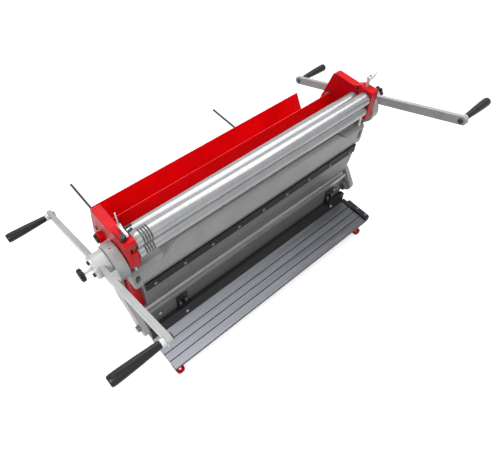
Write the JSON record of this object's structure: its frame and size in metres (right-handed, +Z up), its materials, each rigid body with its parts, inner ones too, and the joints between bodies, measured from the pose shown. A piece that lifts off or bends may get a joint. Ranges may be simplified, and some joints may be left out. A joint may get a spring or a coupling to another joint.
{
  "type": "combination sheet metal machine",
  "caption": "Sheet metal machine with two cast end frames, a cranked slip roll on top, a press brake in the middle and a shear at the table.",
  "frame": {"origin": "centre of the four floor bolt holes, on the floor under the feet", "axes": "+X along the machine to the operator's right, +Y away from the operator, +Z up"},
  "size_m": [1.5866, 1.1941, 0.836],
  "materials": {
    "red_paint": "glossy paint on castings and sheet",
    "grey_paint": "silver-grey paint on a casting",
    "light_paint": "light silver paint",
    "roll_steel": "ground bright steel",
    "plate_steel": "satin steel",
    "blade_steel": "ground blade steel",
    "dark_iron": "machined dark iron",
    "table_iron": "planed iron, bluish grey",
    "black_steel": "blackened steel",
    "dark_steel": "dark drawn steel",
    "zinc": "bright zinc plate",
    "black_plastic": "satin black moulding",
    "bronze": "bearing bronze"
  },
  "bodies": {
    "frame": {"left_end_frame": "red_paint", "right_end_frame": "red_paint", "upper_beam": "grey_paint", "beam_bolts": "black_steel", "jack_screws": "zinc", "punch_plates": "plate_steel", "clamp_strip": "black_steel", "clamp_screws": "zinc", "table": "table_iron", "lower_blade": "blade_steel", "side_gauge": "black_steel", "side_gauge_screw": "zinc", "rear_tray": "red_paint", "tray_bolts": "zinc", "shaft_bushes": "bronze", "roll_bearing_blocks": "dark_iron", "pivot_caps": "red_paint", "head_pins": "black_steel", "release_bolt": "black_steel", "cam_stud": "zinc"},
    "crank": {"crank_shaft": "roll_steel", "shaft_gear": "dark_iron", "crank_hubs": "light_paint", "hub_caps": "zinc", "hub_cap_bolts": "black_steel", "crank_bars": "light_paint", "grip_bolts": "dark_steel", "grip_collars": "zinc"},
    "left_front_grip": {"left_front_grip": "black_plastic"},
    "left_rear_grip": {"left_rear_grip": "black_plastic"},
    "right_front_grip": {"right_front_grip": "black_plastic"},
    "right_rear_grip": {"right_rear_grip": "black_plastic"},
    "left_clutch": {"left_clutch_knob": "black_plastic", "left_clutch_rod": "zinc"},
    "right_clutch": {"right_clutch_knob": "black_plastic", "right_clutch_rod": "zinc"},
    "upper_roll": {"upper_roll": "roll_steel"},
    "lower_roll": {"lower_roll": "roll_steel", "roll_pinion": "dark_iron"},
    "rear_roll": {"rear_roll": "roll_steel"},
    "left_eccentric": {"left_eccentric": "light_paint"},
    "right_eccentric": {"right_eccentric": "light_paint"},
    "left_rod": {"left_connecting_rod": "light_paint", "left_ram_pin": "zinc"},
    "right_rod": {"right_connecting_rod": "light_paint", "right_ram_pin": "zinc"},
    "ram": {"ram": "dark_iron", "bending_die": "dark_iron", "upper_blade": "blade_steel", "ram_keepers": "dark_iron", "ram_bolts": "zinc", "hold_down_brackets": "black_steel", "gauge_rods": "dark_steel"},
    "hold_down": {"hold_down_bar": "black_steel", "hold_down_rods": "zinc"},
    "back_gauge": {"gauge_bar": "dark_steel", "gauge_clamps": "zinc"},
    "release_lever": {"release_lever": "zinc", "release_peg": "black_steel"},
    "cam_lever": {"cam_lever": "zinc"}
  },
  "joints": [
    {"name": "crank_turn", "type": "hinge", "parent": "frame", "child": "crank", "pos_m": [0, 0.02799, 0.655], "axis": [1, 0, 0], "continuous": true},
    {"name": "lower_roll_turn", "type": "hinge", "parent": "frame", "child": "lower_roll", "pos_m": [0, -0.015, 0.674], "axis": [1, 0, 0], "continuous": true},
    {"name": "upper_roll_turn", "type": "hinge", "parent": "frame", "child": "upper_roll", "pos_m": [0, -0.015, 0.728], "axis": [1, 0, 0], "continuous": true},
    {"name": "rear_roll_turn", "type": "hinge", "parent": "frame", "child": "rear_roll", "pos_m": [0, 0.03292, 0.701], "axis": [1, 0, 0], "continuous": true},
    {"name": "left_front_grip_turn", "type": "hinge", "parent": "crank", "child": "left_front_grip", "pos_m": [-0.723, -0.35447, 0.7942], "axis": [1, 0, 0], "continuous": true},
    {"name": "left_rear_grip_turn", "type": "hinge", "parent": "crank", "child": "left_rear_grip", "pos_m": [-0.723, 0.41044, 0.5158], "axis": [1, 0, 0], "continuous": true},
    {"name": "right_front_grip_turn", "type": "hinge", "parent": "crank", "child": "right_front_grip", "pos_m": [0.723, -0.35447, 0.7942], "axis": [1, 0, 0], "continuous": true},
    {"name": "right_rear_grip_turn", "type": "hinge", "parent": "crank", "child": "right_rear_grip", "pos_m": [0.723, 0.41044, 0.5158], "axis": [1, 0, 0], "continuous": true},
    {"name": "left_clutch_push", "type": "slide", "parent": "crank", "child": "left_clutch", "axis": [1, 0, 0], "range_m": [0, 0.018]},
    {"name": "right_clutch_push", "type": "slide", "parent": "crank", "child": "right_clutch", "axis": [-1, 0, 0], "range_m": [0, 0.018]},
    {"name": "ram_lift", "type": "slide", "parent": "frame", "child": "ram", "axis": [0, 0, 1], "range_m": [0, 0.0226]},
    {"name": "left_eccentric_turn", "type": "hinge", "parent": "frame", "child": "left_eccentric", "pos_m": [-0.582, 0.02799, 0.655], "axis": [-1, 0, 0], "range_deg": [0, 90]},
    {"name": "right_eccentric_turn", "type": "hinge", "parent": "frame", "child": "right_eccentric", "pos_m": [0.582, 0.02799, 0.655], "axis": [-1, 0, 0], "range_deg": [0, 90]},
    {"name": "left_rod_turn", "type": "hinge", "parent": "left_eccentric", "child": "left_rod", "pos_m": [-0.582, 0.01667, 0.64369], "axis": [-1, 0, 0], "range_deg": [-90, 0]},
    {"name": "right_rod_turn", "type": "hinge", "parent": "right_eccentric", "child": "right_rod", "pos_m": [0.582, 0.01667, 0.64369], "axis": [-1, 0, 0], "range_deg": [-90, 0]},
    {"name": "hold_down_lift", "type": "slide", "parent": "frame", "child": "hold_down", "axis": [0, 0, 1], "range_m": [0, 0.0136]},
    {"name": "back_gauge_slide", "type": "slide", "parent": "ram", "child": "back_gauge", "axis": [0, 1, 0], "range_m": [-0.22, 0.48]},
    {"name": "release_lever_swing", "type": "hinge", "parent": "frame", "child": "release_lever", "pos_m": [-0.53569, -0.019, 0.776], "axis": [1, 0, 0], "range_deg": [0, 60]},
    {"name": "cam_lever_swing", "type": "hinge", "parent": "frame", "child": "cam_lever", "pos_m": [0.545, 0.003, 0.801], "axis": [0, -1, 0], "range_deg": [0, 90]}
  ],
  "couplings": [
    {"joint": "lower_roll_turn", "follows": "crank_turn", "ratio": -1.2381},
    {"joint": "left_eccentric_turn", "follows": "ram_lift", "rad_per_m": 69.4},
    {"joint": "right_eccentric_turn", "follows": "ram_lift", "rad_per_m": 69.4},
    {"joint": "left_rod_turn", "follows": "ram_lift", "rad_per_m": -69.4},
    {"joint": "right_rod_turn", "follows": "ram_lift", "rad_per_m": -69.4},
    {"joint": "hold_down_lift", "follows": "ram_lift", "ratio": 0.6}
  ]
}
